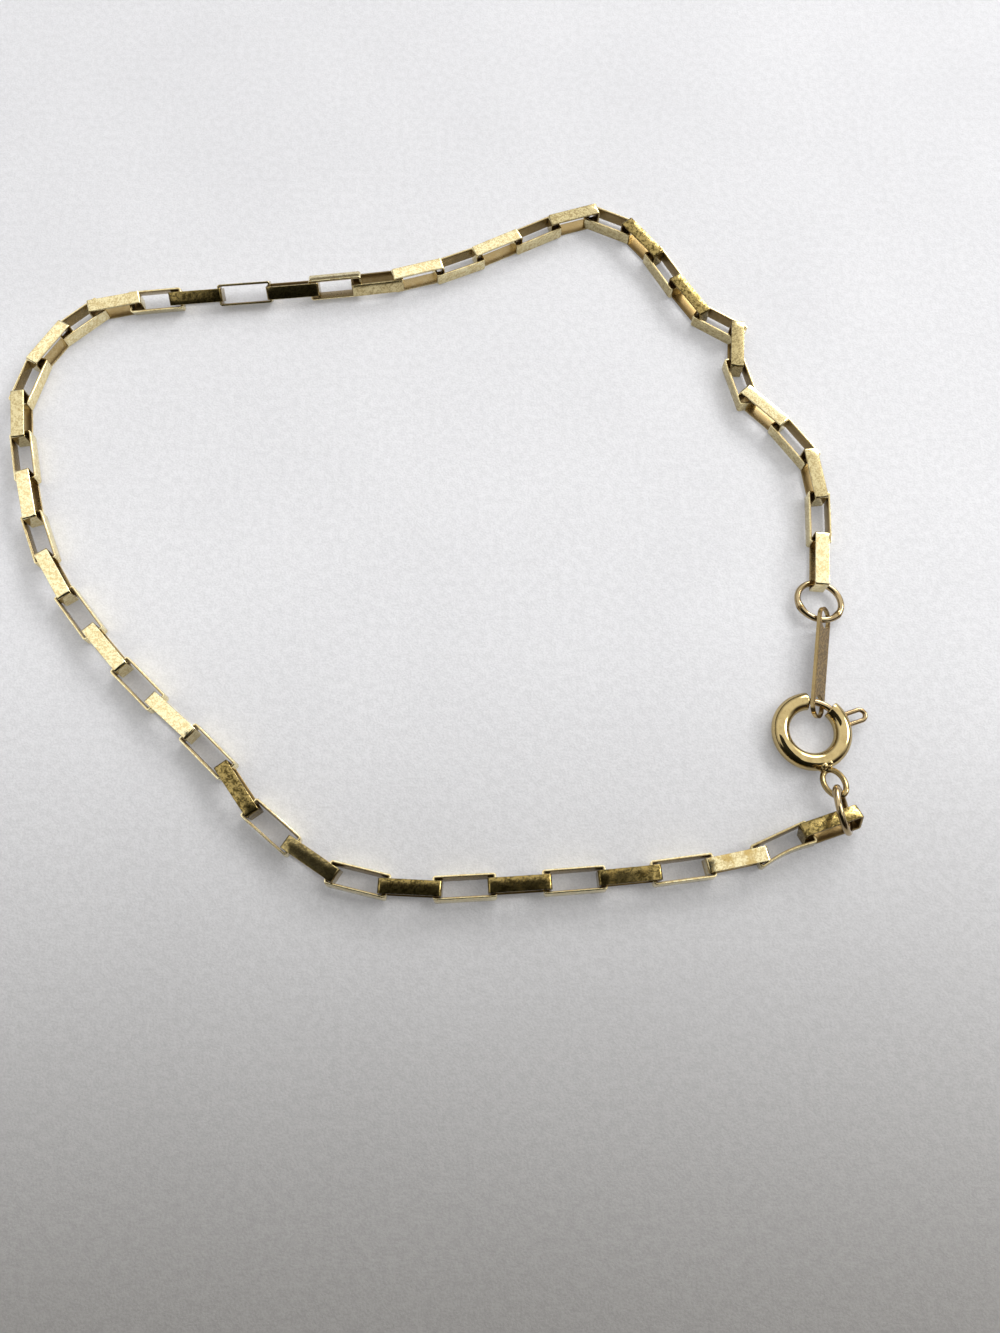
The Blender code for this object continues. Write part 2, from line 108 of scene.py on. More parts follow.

# Surface of single links, from the photograph: link and share of hatching with painted shade and painted
# dark reflection, link and share of stain
LINK_HATCH_AND_SHADE = ((2, 0.3), (3, 0.45), (4, 0.3), (5, 0.12), (6, 0.35), (7, 0.75), (8, 0.45), (9, 0.95),
              (10, 0.45), (11, 1.0), (12, 0.45), (13, 0.5), (14, 0.3), (15, 0.1), (16, 0.2), (18, 0.6),
              (19, 0.2), (20, 0.85), (21, 0.5), (22, 1.0), (23, 0.2), (24, 0.25), (28, 0.4),
              (38, 1.0), (40, 0.8), (42, 1.0), (44, 1.0), (46, 1.0), (48, 0.2), (49, 0.5), (50, 1.0))
# Chance adds a little more hatching and painted shade to each link
TONE_CHANCE = 0.08            # most that chance adds to a link's tone
LINK_STAINS = ((15, 0.2), (24, 0.15), (44, 0.3), (46, 0.3), (48, 0.7))

# Open links whose tops lean inwards a little: link, degrees about the chain
LINK_LEANS = ((39, -6), (41, -8), (43, -9), (45, -8), (47, -7))

# Rings and tag
RING_WIRE = 0.00056
RING_STEPS, RING_SIDES = 96, 20
RING_GAP = 0.00006
END_RING_LENGTH = 0.0046
END_RING_WIDTH = 0.0041
END_RING_TURN, END_RING_TAG_ANGLE, END_RING_CHAIN_ANGLE = -32, -85, 88
END_RING_CHAIN_HEIGHT = 0.0006
END_RING_JOINTS = (235, -12)
CLASP_RING_JOINTS = (225,)
SEAM_SWELL = 0.24
SEAM_SPREAD = 14              # degrees round the ring
SEAM_WIDTH = 3.5              # degrees round the ring
SEAM_DARK = 0.9
CLASP_RING_CENTRE = (0.03635, -0.02806, 0.002514)
CLASP_RING_DIAMETER = 0.00436
CLASP_RING_HEADING, CLASP_RING_PITCH, CLASP_RING_LEAN = -83.8, 3.0, 62.3
TAG_LENGTH = 0.0105
TAG_WIDTH = 0.0021
TAG_THICKNESS = 0.00036
TAG_HEADING, TAG_LEAN, TAG_BOLT_ANGLE = 80, 49, 74
TAG_RIM = 0.00025
TAG_SLOT_LENGTH = 0.0018
TAG_SLOT_WIDTH = 0.0016
TAG_BOLT_OFFSET = 0.0003
# Painted shade on the tag's flat faces, darker than its edges
TAG_FACE_SHADE = 0.9
TAG_FACE_MATCH = 0.95         # cosine from which a face counts as one of the tag's flats
TAG_EDGE_ROUNDING = 0.00004
TAG_EDGE_ANGLE, TAG_SHARP_ANGLE = 60, 50

# Colours of the links' strip
LINK_PALE = (0.99, 0.90, 0.57, 1)
LINK_FLECK = (0.80, 0.64, 0.33, 1)
LINK_WORN = (0.74, 0.58, 0.27, 1)
# Dark hatching, which also paints shade and dark reflections on the links that the table of shares darkens
HATCH_AND_SHADE_PALE = (0.36, 0.27, 0.10, 1)
HATCH_AND_SHADE_DARK = (0.09, 0.065, 0.018, 1)
STAIN_BROWN = (0.50, 0.34, 0.10, 1)
# Painted shade: brown on the strip's inner faces
INNER_SHADE_BROWN = (0.25, 0.17, 0.07, 1)
LINK_RELIEF = 0.000004

# Polished metals: name, bright and deep colour, roughness, depth of scratches
CLASP_GOLD = ("clasp gold", (0.54, 0.42, 0.20, 1), (0.27, 0.19, 0.07, 1), 0.05, 0.000002)
RING_GOLD = ("ring gold", (0.44, 0.34, 0.19, 1), (0.24, 0.16, 0.08, 1), 0.12, 0.000003)
BOLT_GOLD = ("bolt gold", (0.44, 0.33, 0.18, 1), (0.24, 0.16, 0.08, 1), 0.12, 0.000003)
TAG_GOLD = ("tag gold", (0.54, 0.41, 0.20, 1), (0.32, 0.22, 0.09, 1), 0.18, 0.000004)
# Colours of dark seams and of painted shade on the clasp's eye and the tag's flat faces
SEAM_AND_SHADE_PALE = (0.32, 0.21, 0.075, 1)
SEAM_AND_SHADE_DARK = (0.11, 0.065, 0.02, 1)

# Camera of the photograph
CAMERA_HEIGHT = 0.08145
CAMERA_PLACE = (0.0078, -0.041)
CAMERA_DIP = 72.1             # degrees below level
CAMERA_LENS, CAMERA_FRAME = 34.2, 36     # millimetres
CAMERA_NEAR = 0.002

# Lights
SKY_STRENGTH = 1.22
SKY_PALE = (1.0, 0.99, 0.97, 1)
SKY_DARK = (0.04, 0.03, 0.025, 1)
# Bands where the sky turns from dark to pale, on a sphere of radius 1: the first along Y, the others
# along Z
SKY_SOUTH = (-0.45, 0.1)
SKY_SOUTH_TOP = (0.45, 0.9)
SKY_HORIZON = ((0.10, 0.40), (0.35, 0.66))
SKY_HORIZON_DARK = 0.45
# Bright parts of the sky: way towards it, cosines of the angles to its edge and core, strength
GLOWS = (((0.47, 0.81, 0.36), 0.89, 0.98, 2.2), ((0.80, 0.20, 0.56), 0.975, 0.988, 11.0))
WINDOW_WATTS = 0.5
WINDOW_SIZE = (0.16, 0.10)
WINDOW_PLACE = (0.16, 0.24, 0.17)
# Dark cards in the camera's own plane: near left and far right corners
CARDS = (((-0.051, -0.02), (0.027, 0.034)), ((-0.16, -0.25), (0.07, -0.02)))
CARD_BACK = 0.001             # how far the cards lie behind the camera
CARD_BLACK = (0.02, 0.022, 0.015, 1)

# Floor, with places along Y
FLOOR_HALF = 0.6
# Painted shadow on the paper towards the viewer
FLOOR_SHADE = (-0.085, -0.006)   # from where it is darkest to where it is pale
# Painted shade on the paper further away
FLOOR_FADE = (-0.02, 0.06)       # from where it is palest to where it is grey again
PAPER_PALE = (0.56, 0.56, 0.575, 1)
PAPER_FAR_SHADE = (0.39, 0.39, 0.405, 1)
PAPER_PAINTED_SHADOW = (0.24, 0.23, 0.215, 1)
PAPER_GRAIN = (0.83, 0.83, 0.83, 1)
# Painted fill light that the paper emits, weaker in the painted shadow
PAPER_FILL_GLOW = (0.21, 0.21, 0.215, 1)
PAPER_FILL_GLOW_SHADED = (0.03, 0.028, 0.025, 1)
PAPER_ROUGHNESS = 0.75
PAPER_RELIEF = 0.00003

UP = Vector((0, 0, 1))


def direction(degrees):
    """Unit vector on the surface at an angle from +X."""
    return Vector((math.cos(math.radians(degrees)), math.sin(math.radians(degrees)), 0.0))


# Nodes written as expressions

class Value:
    """One output socket, with arithmetic that adds Math nodes to its tree."""

    def __init__(self, graph, socket):
        self.graph, self.socket = graph, socket

    def math(self, operation, *others):
        sockets = {0: self, **dict(enumerate(others, 1))}
        return self.graph.add("ShaderNodeMath", {"operation": operation}, sockets)

    def __add__(self, other):
        return self.math("ADD", other)

    def __mul__(self, other):
        return self.math("MULTIPLY", other)

    def __sub__(self, other):
        return self.math("SUBTRACT", other)

    def __truediv__(self, other):
        return self.math("DIVIDE", other)

    def __rsub__(self, other):
        return self.graph.add("ShaderNodeMath", {"operation": "SUBTRACT"}, {0: other, 1: self})

    __radd__ = __add__

    def clamp(self):
        return self.graph.add("ShaderNodeClamp", {}, {"Value": self})

    def band(self, low, high):
        """0 below low, 1 above high and smooth between."""
        return self.graph.add("ShaderNodeMapRange", {"interpolation_type": "SMOOTHSTEP"},
                              {"Value": self, "From Min": low, "From Max": high})


class Graph:
    """A node tree that is written as expressions."""

    def __init__(self, tree):
        self.tree = tree

    def add(self, kind, settings=None, sockets=None, output=0):
        """Add a node with its settings and socket values, and return one output as a Value."""
        node = self.tree.nodes.new(kind)
        for key, value in (settings or {}).items():
            setattr(node, key, value)
        for key, value in (sockets or {}).items():
            if isinstance(value, Value):
                self.tree.links.new(value.socket, node.inputs[key])
            else:
                node.inputs[key].default_value = value
        return Value(self, node.outputs[output]) if len(node.outputs) else None

    def mix(self, share, first, second, blend="MIX"):
        """Mix two colours."""
        return self.add("ShaderNodeMix", {"data_type": "RGBA", "blend_type": blend},
                        {0: share, 6: first, 7: second}, output=2)

    def noise(self, place, scale, detail, rough):
        return self.add("ShaderNodeTexNoise", {}, {"Vector": place, "Scale": scale, "Detail": detail,
                                                   "Roughness": rough})

    def stretched(self, place, factors):
        return self.add("ShaderNodeVectorMath", {"operation": "MULTIPLY"}, {0: place, 1: factors})

    def turned(self, place, degrees, factors):
        """Coordinates turned about a slanting axis, then stretched."""
        turned = self.add("ShaderNodeVectorRotate", {}, {"Vector": place, "Axis": (0.2, 1.0, 0.3),
                                                         "Angle": math.radians(degrees)})
        return self.stretched(turned, factors)


# Materials

def new_material(name):
    """A metal with the graph to write it in and its Principled shader."""
    material = bpy.data.materials.new(name)
    material.use_nodes = True
    graph = Graph(material.node_tree)
    shader = material.node_tree.nodes["Principled BSDF"]
    shader.inputs["Metallic"].default_value = 1.0
    return material, graph, shader


def wire_up(graph, shader, colour, roughness, relief, depth):
    """Feed a Principled shader's colour, roughness and bump."""
    bump = graph.add("ShaderNodeBump", {}, {"Height": relief, "Distance": depth, "Strength": 1.0})
    graph.tree.links.new(colour.socket, shader.inputs["Base Color"])
    graph.tree.links.new(roughness.socket, shader.inputs["Roughness"])
    graph.tree.links.new(bump.socket, shader.inputs["Normal"])


def link_gold():
    """Pale gold strip with a brushed, flecked skin, brown inner faces in painted shade, darker hatching
    with painted shade and painted dark reflections on chosen links, and a few stains.
    """
    material, graph, shader = new_material("link gold")
    own = graph.add("ShaderNodeAttribute", {"attribute_name": "place"}, output=1)
    hatch_and_shade, seed, stain, inside = (graph.add("ShaderNodeAttribute", {"attribute_name": name}, output=2)
                                 for name in ("hatch_and_shade", "seed", "stain", "inside"))
    spread = graph.add("ShaderNodeCombineXYZ", {}, {0: seed * 0.9, 1: seed * 0.5, 2: seed * 0.7})
    place = graph.add("ShaderNodeVectorMath", {"operation": "ADD"}, {0: own, 1: spread})
    mottle = graph.noise(place, 6500, 2, 0.6)
    brushed = graph.noise(graph.turned(place, 38, (1200, 10000, 4000)), 1.0, 2, 0.5)
    crossed = graph.noise(graph.turned(place, -24, (1000, 9000, 4000)), 1.0, 2, 0.5)
    cloud = graph.noise(place, 900, 3, 0.5)
    ripple = graph.noise(place, 2200, 0, 0.5)
    inner = inside.band(0.3, 0.8)
    fleck = (mottle * 0.4 + brushed * 0.35 + crossed * 0.25).band(0.42, 0.56)
    base = graph.mix(fleck, LINK_FLECK, LINK_PALE)
    worn = graph.mix(cloud.band(0.5, 0.75) * 0.3, base, LINK_WORN)
    # hatching, with painted shade and painted dark reflections where each link's share says
    hatched_and_shaded = graph.mix(fleck, HATCH_AND_SHADE_DARK, HATCH_AND_SHADE_PALE)
    with_hatch_and_shade = graph.mix(hatch_and_shade, worn, hatched_and_shaded)
    patch = graph.noise(place, 900, 3, 0.6).band(0.51, 0.60) * stain
    stained = graph.mix(patch, with_hatch_and_shade, STAIN_BROWN)
    # painted shade in brown on the inner faces
    colour = graph.mix(inner * 0.85, stained, INNER_SHADE_BROWN)
    roughness = 0.16 - fleck * 0.05 + hatch_and_shade * 0.05 + inner * 0.15 + patch * 0.15
    relief = (brushed * 0.5 + crossed * 0.3) * (1 + hatch_and_shade * 1.2) + ripple
    wire_up(graph, shader, colour, roughness, relief, LINK_RELIEF)
    return material


def polished_gold(name, bright, deep, rough, scratches):
    """Worn polished gold for rings, clasp, bolt and tag, browner where their mask of dark seams and
    painted shade says.
    """
    material, graph, shader = new_material(name)
    place = graph.add("ShaderNodeTexCoord", output=3)
    cloud = graph.noise(place, 700, 4, 0.6)
    fine = graph.noise(place, 5000, 3, 0.6)
    scuff = graph.noise(graph.stretched(place, (3500, 1200, 2500)), 1.0, 1, 0.5)
    blotch = (cloud.band(0.42, 0.72) * 0.5 + fine.band(0.55, 0.8) * 0.3).clamp()
    colour = graph.mix(blotch, bright, deep)
    # mask of dark seams and of painted shade
    seam_and_shade = graph.add("ShaderNodeAttribute", {"attribute_name": "seam_and_shade"}, output=2)
    seam_and_shade_colour = graph.mix(fine.band(0.45, 0.6), SEAM_AND_SHADE_DARK, SEAM_AND_SHADE_PALE)
    colour = graph.mix(seam_and_shade, colour, seam_and_shade_colour)
    roughness = cloud.band(0.4, 0.7) * 0.06 + fine.band(0.45, 0.75) * 0.06 + seam_and_shade * 0.12 + rough
    wire_up(graph, shader, colour, roughness, scuff + cloud, scratches)
    return material


# Trees that make meshes

def to_mesh(name, tree_thing):
    """Plain mesh object from an evaluated object, which is then deleted."""
    graph = bpy.context.evaluated_depsgraph_get()
    mesh = bpy.data.meshes.new_from_object(tree_thing.evaluated_get(graph), preserve_all_data_layers=True,
                                           depsgraph=graph)
    bpy.data.objects.remove(tree_thing)
    mesh.name = name
    thing = bpy.data.objects.new(name, mesh)
    bpy.context.collection.objects.link(thing)
    return thing


def new_tree(name, inputs):
    """Geometry node group with a geometry input and named inputs. Returns its graph and inputs."""
    tree = bpy.data.node_groups.new(name, "GeometryNodeTree")
    tree.interface.new_socket("Geometry", in_out="INPUT", socket_type="NodeSocketGeometry")
    for label, kind in inputs.items():
        tree.interface.new_socket(label, in_out="INPUT", socket_type="NodeSocket" + kind)
    tree.interface.new_socket("Geometry", in_out="OUTPUT", socket_type="NodeSocketGeometry")
    graph = Graph(tree)
    entry = tree.nodes.new("NodeGroupInput")
    return graph, {socket.name: Value(graph, socket) for socket in entry.outputs if socket.name}


def finish_tree(graph, geometry, material):
    """End a tree in Realize Instances and Set Material."""
    real = graph.add("GeometryNodeRealizeInstances", {}, {0: geometry})
    smooth = graph.add("GeometryNodeSetShadeSmooth", {}, {0: real})
    done = graph.add("GeometryNodeSetMaterial", {}, {0: smooth, "Material": material})
    graph.add("NodeGroupOutput", {}, {0: done})


def run_tree(name, mesh, graph, values):
    """Run a tree on a mesh with its named inputs and return the plain result."""
    thing = bpy.data.objects.new(name, mesh)
    bpy.context.collection.objects.link(thing)
    modifier = thing.modifiers.new(name, "NODES")
    modifier.node_group = graph.tree
    for item in graph.tree.interface.items_tree:
        if item.name in values:
            modifier[item.identifier] = values[item.name]
    return to_mesh(name, thing)


# Places of the pieces

def table_value(table, link):
    """Read a table of link and value in straight runs between its rows."""
    if link <= table[0][0]:
        return table[0][1]
    for (first, low), (last, high) in zip(table, table[1:]):
        if link <= last:
            return low + (high - low) * (link - first) / (last - first)
    return table[-1][1]


CLASP_MIDDLE = Vector((*CLASP_CENTRE, CLASP_TUBE / 2))
BOLT_RADIUS = (CLASP_DIAMETER - CLASP_TUBE) / 2
TAG_ALONG = direction(TAG_HEADING)
TAG_SIN, TAG_COS = math.sin(math.radians(TAG_LEAN)), math.cos(math.radians(TAG_LEAN))
TAG_ACROSS = TAG_COS * direction(TAG_HEADING + 90) + TAG_SIN * UP
TAG_NORMAL = TAG_ALONG.cross(TAG_ACROSS)
TAG_SLOT_SPACING = TAG_LENGTH - 2 * TAG_RIM - TAG_SLOT_LENGTH


def tag_slot():
    """Middle of the tag's slot at the bolt."""
    slot = CLASP_MIDDLE + BOLT_RADIUS * direction(TAG_BOLT_ANGLE) - TAG_BOLT_OFFSET * TAG_ALONG
    slot.z = (TAG_WIDTH * TAG_SIN + TAG_THICKNESS * TAG_COS) / 2
    return slot


def end_ring_reach(degrees):
    """Distance from the end ring's middle to its wire's middle at an angle."""
    long_half, short_half = (END_RING_LENGTH - RING_WIRE) / 2, (END_RING_WIDTH - RING_WIRE) / 2
    turn = math.radians(degrees - END_RING_TURN)
    return long_half * short_half / math.hypot(short_half * math.cos(turn), long_half * math.sin(turn))


def end_ring_middle():
    """Middle of the end ring, whose wire hangs in the tag's far slot."""
    wire_point = tag_slot() + TAG_SLOT_SPACING * TAG_ALONG
    return wire_point - end_ring_reach(END_RING_TAG_ANGLE) * direction(END_RING_TAG_ANGLE)


def route_start():
    """First joint of the chain, where the end ring hangs in the first link's end wall."""
    inner = end_ring_reach(END_RING_CHAIN_ANGLE) - RING_WIRE / 2
    reach = math.sqrt(inner ** 2 - (STRIP_WIDTH / 2) ** 2) - RING_GAP
    start = end_ring_middle() + (reach + (LINK_REACH - LINK_PITCH) / 2) * direction(END_RING_CHAIN_ANGLE)
    start.z = 0
    return start


def route_curve(scale):
    """Smooth curve through the route's points, which are scaled about the middle of its ends."""
    start, end = route_start(), Vector((*ROUTE_END, 0))
    middle = (start + end) / 2
    stops = [start] + [middle + scale * (Vector((*point, 0)) - middle) for point in ROUTE] + [end]
    runs = [(after - before).normalized() for before, after in zip(stops, stops[2:])]
    runs = [(stops[1] - start).normalized()] + runs + [(end - stops[-2]).normalized()]
    curve = [start]
    for index in range(len(stops) - 1):
        near, far = stops[index], stops[index + 1]
        handle = (far - near).length / 3
        curve += interpolate_bezier(near, near + handle * runs[index], far - handle * runs[index + 1],
                                    far, ROUTE_STEPS)[1:]
    return curve


def walk(curve, chords):
    """Step links of given lengths along a curve and return their joints, until the curve ends."""
    joints = [curve[0]]
    place = 0
    for chord in chords:
        here = joints[-1]
        while place + 1 < len(curve) and (curve[place + 1] - here).length < chord:
            place += 1
        if place + 1 == len(curve):
            return joints
        near, far = curve[place], curve[place + 1]
        hits = intersect_line_sphere(near, far, here, chord, False)
        joints.append(max(hits, key=lambda hit: hit.dot(far - near)))
    return joints


def lay_links():
    """Joints between the links, and how much each joint's turn takes from the links beside it."""
    slack = dict(SLACK)
    taken = [0.0] * (LINK_COUNT + 1)
    for attempt in range(ROUTE_PASSES):
        chords = [LINK_PITCH * (1 - slack.get(link, 0)) - taken[link - 1] - taken[link]
                  for link in range(1, LINK_COUNT + 1)]
        small, large = SCALE_RANGE
        for halving in range(SCALE_HALVINGS):
            scale = (small + large) / 2
            if len(walk(route_curve(scale), chords)) > LINK_COUNT:
                large = scale
            else:
                small = scale
        joints = walk(route_curve(large), chords)
        runs = [after - before for before, after in zip(joints, joints[1:])]
        for joint in range(1, LINK_COUNT):
            taken[joint] = STRIP_WIDTH / 2 * math.tan(runs[joint - 1].angle(runs[joint]) / 2)
    return joints, taken


def is_flat(normal):
    """Whether a link with this strip normal shows the flat of its strip from above."""
    return abs(normal.z) > math.sqrt(0.5)


def link_frames():
    """Middle, run and strip normal of each link, at the heights where the links come to rest."""
    joints, taken = lay_links()
    frames = []
    for link in range(1, LINK_COUNT + 1):
        run = (joints[link] - joints[link - 1]).normalized()
        roll = math.radians(table_value(TWIST, link) + (0 if link % 2 else 90))
        normal = Matrix.Rotation(roll, 3, run) @ UP
        middle = (joints[link - 1] + joints[link] + (taken[link] - taken[link - 1]) * run) / 2
        middle.z = (LINK_HEIGHT * abs(normal.z) + STRIP_WIDTH * math.sqrt(1 - normal.z ** 2)) / 2
        frames.append((middle, run, normal))
    drop = LINK_HEIGHT / 2 - STRIP_THICKNESS - STRIP_WIDTH / 2 + LINK_PRESS
    shelves = [middle.z - drop / abs(normal.z) if is_flat(normal) else 0.0
               for middle, run, normal in frames]
    for index, (middle, run, normal) in enumerate(frames):
        if not is_flat(normal):
            near = max(middle.z, shelves[index - 1])
            far = max(middle.z, shelves[(index + 1) % LINK_COUNT])
            middle.z = (near + far) / 2
            run.z = (far - near) / LINK_REACH
            run.normalize()
    return frames


# Chain

def link_tree():
    """Box links of bent strip, on points that carry each link's run, normal and bend."""
    graph, size = new_tree("box links", {"Reach": "Float", "Height": "Float", "Strip Width": "Float",
                                         "Strip Thickness": "Float", "Corner": "Float",
                                         "Edge Radius": "Float", "Gold": "Material"})
    cuts = 5
    index = graph.add("GeometryNodeInputIndex")
    middle_corner = size["Corner"] - size["Strip Thickness"] * 0.5
    at_corner = 1 - index.math("MODULO", cuts + 1).clamp()
    path = graph.add("GeometryNodeCurvePrimitiveQuadrilateral", {}, {
        "Width": size["Reach"] + size["Strip Thickness"],
        "Height": size["Height"] - size["Strip Thickness"]})
    path = graph.add("GeometryNodeSubdivideCurve", {}, {0: path, "Cuts": cuts})
    path = graph.add("GeometryNodeFilletCurve", {"mode": "POLY"}, {
        0: path, "Count": LINK_CORNER_STEPS, "Radius": middle_corner * at_corner})
    path = graph.add("GeometryNodeSetCurveNormal", {"mode": "Z_UP"}, {0: path})
    strip = graph.add("GeometryNodeCurvePrimitiveQuadrilateral", {}, {
        "Width": size["Strip Thickness"], "Height": size["Strip Width"]})
    strip = graph.add("GeometryNodeFilletCurve", {"mode": "POLY"}, {
        0: strip, "Count": LINK_EDGE_STEPS, "Radius": size["Edge Radius"]})
    place = graph.add("GeometryNodeInputPosition")
    across = graph.add("ShaderNodeSeparateXYZ", {}, {0: place}, output=0)
    inside = (0.5 - across / size["Strip Thickness"]).clamp()
    strip = graph.add("GeometryNodeStoreNamedAttribute", {"data_type": "FLOAT", "domain": "POINT"}, {
        0: strip, "Name": "inside", "Value": inside})
    link = graph.add("GeometryNodeCurveToMesh", {}, {0: path, 1: strip})
    link = graph.add("GeometryNodeStoreNamedAttribute", {"data_type": "FLOAT_VECTOR", "domain": "POINT"}, {
        0: link, "Name": "place", "Value": place})

    def named(name, kind):
        return graph.add("GeometryNodeInputNamedAttribute", {"data_type": kind}, {"Name": name})

    turn = graph.add("FunctionNodeAxesToRotation", {"primary_axis": "X", "secondary_axis": "Y"}, {
        "Primary Axis": named("run", "FLOAT_VECTOR"), "Secondary Axis": named("normal", "FLOAT_VECTOR")})
    entry = graph.tree.nodes["Group Input"]
    links = graph.add("GeometryNodeInstanceOnPoints", {}, {
        0: Value(graph, entry.outputs[0]), "Instance": link, "Rotation": turn})
    real = graph.add("GeometryNodeRealizeInstances", {}, {0: links})
    parts = graph.add("ShaderNodeSeparateXYZ", {}, {0: named("place", "FLOAT_VECTOR")})
    high = Value(graph, parts.socket.node.outputs[1])
    bow = (parts / (size["Reach"] * 0.5) * (math.pi / 2)).math("COSINE")
    depth = bow * named("bend", "FLOAT") * high.math("GREATER_THAN", 0.0) * -1.0
    shift = graph.add("ShaderNodeVectorMath", {"operation": "SCALE"}, {
        0: named("normal", "FLOAT_VECTOR"), "Scale": depth.math("MINIMUM", 0.0)})
    bent = graph.add("GeometryNodeSetPosition", {}, {0: real, "Offset": shift})
    finish_tree(graph, bent, size["Gold"])
    return graph


def chain_piece(material):
    """The whole chain as one mesh."""
    rng = random.Random(11)
    frames = link_frames()
    points = bpy.data.meshes.new("links")
    points.from_pydata([middle for middle, run, normal in frames], [], [])
    leans = [rng.uniform(-LINK_WOBBLE, LINK_WOBBLE) + dict(LINK_LEANS).get(link, 0)
             for link in range(1, LINK_COUNT + 1)]
    tilted = [Matrix.Rotation(math.radians(lean), 3, run) @ normal
              for lean, (middle, run, normal) in zip(leans, frames)]
    vectors = {"run": [run for middle, run, normal in frames], "normal": tilted}
    for name, rows in vectors.items():
        layer = points.attributes.new(name, "FLOAT_VECTOR", "POINT")
        layer.data.foreach_set("vector", [number for row in rows for number in row])
    links = range(1, LINK_COUNT + 1)
    numbers = {"bend": [BEND_DEPTH if link == BENT_LINK else 0.0 for link in links],
               "hatch_and_shade": [dict(LINK_HATCH_AND_SHADE).get(link, 0.0) + TONE_CHANCE * rng.random() for link in links],
               "stain": [dict(LINK_STAINS).get(link, 0.0) for link in links],
               "seed": [rng.random() for link in links]}
    for name, row in numbers.items():
        points.attributes.new(name, "FLOAT", "POINT").data.foreach_set("value", row)
    chain = run_tree("chain", points, link_tree(), {
        "Reach": LINK_REACH, "Height": LINK_HEIGHT, "Strip Width": STRIP_WIDTH,
        "Strip Thickness": STRIP_THICKNESS, "Corner": LINK_CORNER, "Edge Radius": LINK_EDGE_RADIUS,
        "Gold": material})
    chain.data.set_sharp_from_angle(angle=math.radians(LINK_SHARP_ANGLE))
    return chain


# Rings

def ring_tree():
    """Oval ring of round wire, level and about the origin."""
    graph, size = new_tree("wire ring", {"Length": "Float", "Width": "Float", "Wire": "Float",
                                         "Gold": "Material"})
    path = graph.add("GeometryNodeCurvePrimitiveCircle", {}, {"Resolution": RING_STEPS, "Radius": 1.0})
    halves = graph.add("ShaderNodeCombineXYZ", {}, {0: (size["Length"] - size["Wire"]) * 0.5,
                                                    1: (size["Width"] - size["Wire"]) * 0.5})
    place = graph.add("GeometryNodeInputPosition")
    oval = graph.add("ShaderNodeVectorMath", {"operation": "MULTIPLY"}, {0: place, 1: halves})
    path = graph.add("GeometryNodeSetPosition", {}, {0: path, "Position": oval})
    section = graph.add("GeometryNodeCurvePrimitiveCircle", {}, {
        "Resolution": RING_SIDES, "Radius": size["Wire"] * 0.5})
    ring = graph.add("GeometryNodeCurveToMesh", {}, {0: path, 1: section})
    finish_tree(graph, ring, size["Gold"])
    return graph


def ring_piece(name, tree, matrix, length, width, wire, material, joints=()):
    """A wire ring placed by a matrix, with a swollen, dark seam at each of the joints' angles."""
    thing = run_tree(name, bpy.data.meshes.new(name), tree, {
        "Length": length, "Width": width, "Wire": wire, "Gold": material})
    seams = []
    for vert in thing.data.vertices:
        turn = math.atan2(vert.co.y / (width - wire), vert.co.x / (length - wire))
        centre = Vector(((length - wire) / 2 * math.cos(turn), (width - wire) / 2 * math.sin(turn), 0))
        away = min((abs(math.remainder(math.degrees(turn) - joint, 360)) for joint in joints),
                   default=180)
        swell = 1 + SEAM_SWELL * math.exp(-(away / SEAM_SPREAD) ** 2)
        vert.co = centre + (vert.co - centre) * swell
        seams.append(SEAM_DARK if away < SEAM_WIDTH else 0.0)
    if joints:
        thing.data.attributes.new("seam_and_shade", "FLOAT", "POINT").data.foreach_set("value", seams)
    thing.data.transform(matrix)
    return thing


def axes(middle, along, across):
    """Matrix that puts a ring's long and short axes on two vectors at a middle."""
    along = along.normalized()
    normal = along.cross(across).normalized()
    rows = (along, normal.cross(along), normal)
    return Matrix.Translation(middle) @ Matrix(rows).transposed().to_4x4()


def end_ring_axes():
    """Where the end ring lies, a little lower at the chain."""
    middle = end_ring_middle()
    span = (route_start() - middle).to_2d().length + end_ring_reach(END_RING_TAG_ANGLE)
    tilt = math.atan2(END_RING_CHAIN_HEIGHT - CLASP_MIDDLE.z, span)
    middle.z = (END_RING_CHAIN_HEIGHT + CLASP_MIDDLE.z) / 2
    tip = Matrix.Rotation(tilt, 3, direction(END_RING_CHAIN_ANGLE - 90))
    return axes(middle, tip @ direction(END_RING_TURN), tip @ direction(END_RING_TURN + 90))


def clasp_ring_axes():
    """Where the clasp's ring leans over the last link."""
    heading, pitch, lean = (math.radians(angle)
                            for angle in (CLASP_RING_HEADING, CLASP_RING_PITCH, CLASP_RING_LEAN))
    along = Vector((math.cos(heading) * math.cos(pitch), math.sin(heading) * math.cos(pitch),
                    math.sin(pitch)))
    level = direction(CLASP_RING_HEADING + 90)
    down = math.cos(lean) * level - math.sin(lean) * along.cross(level).normalized()
    return axes(Vector(CLASP_RING_CENTRE), along, down)


# Solid shapes for the clasp and the tag

def add_object(name, bm):
    """Turn a bmesh into an object with its faces pointing out."""
    bmesh.ops.recalc_face_normals(bm, faces=bm.faces[:])
    mesh = bpy.data.meshes.new(name)
    bm.to_mesh(mesh)
    bm.free()
    thing = bpy.data.objects.new(name, mesh)
    bpy.context.collection.objects.link(thing)
    return thing


def loft(bm, loops):
    """Join equal loops of vertices into a solid with flat ends."""
    for near, far in zip(loops, loops[1:]):
        for step in range(len(near)):
            other = (step + 1) % len(near)
            bm.faces.new((near[step], near[other], far[other], far[step]))
    bm.faces.new(loops[0])
    bm.faces.new(loops[-1])


